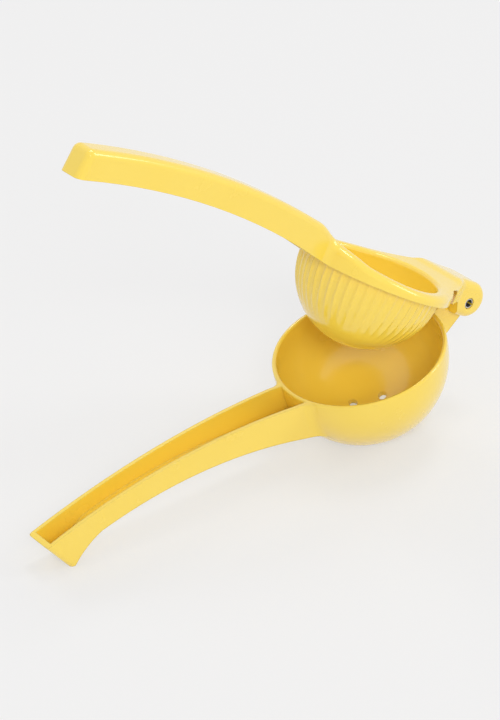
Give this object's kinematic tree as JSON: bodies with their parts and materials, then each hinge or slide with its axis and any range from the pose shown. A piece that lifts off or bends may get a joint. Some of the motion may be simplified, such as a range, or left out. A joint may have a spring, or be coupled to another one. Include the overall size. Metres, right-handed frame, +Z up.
{
  "type": "lemon squeezer",
  "caption": "Hand lemon squeezer: a drained bowl and a fluted press dome on two hinged channel handles, closed by hand to press half a lemon.",
  "frame": {"origin": "middle of the footprint, on the table on which the bowl and the heel stand", "axes": "+X from the handles to the hinge, +Y along the hinge pin, +Z up"},
  "size_m": [0.2244, 0.074, 0.1742],
  "materials": {
    "enamel": "glossy yellow enamel on cast aluminium",
    "pin_steel": "bright spring steel"
  },
  "bodies": {
    "lower": {"lower_arm": "enamel"},
    "upper": {"upper_arm": "enamel", "hinge_pin": "pin_steel"}
  },
  "joints": [
    {"name": "arm_hinge", "type": "hinge", "parent": "lower", "child": "upper", "pos_m": [0.10254, 0, 0.04937], "axis": [0, 1, 0], "range_deg": [-39.4, 60]}
  ]
}
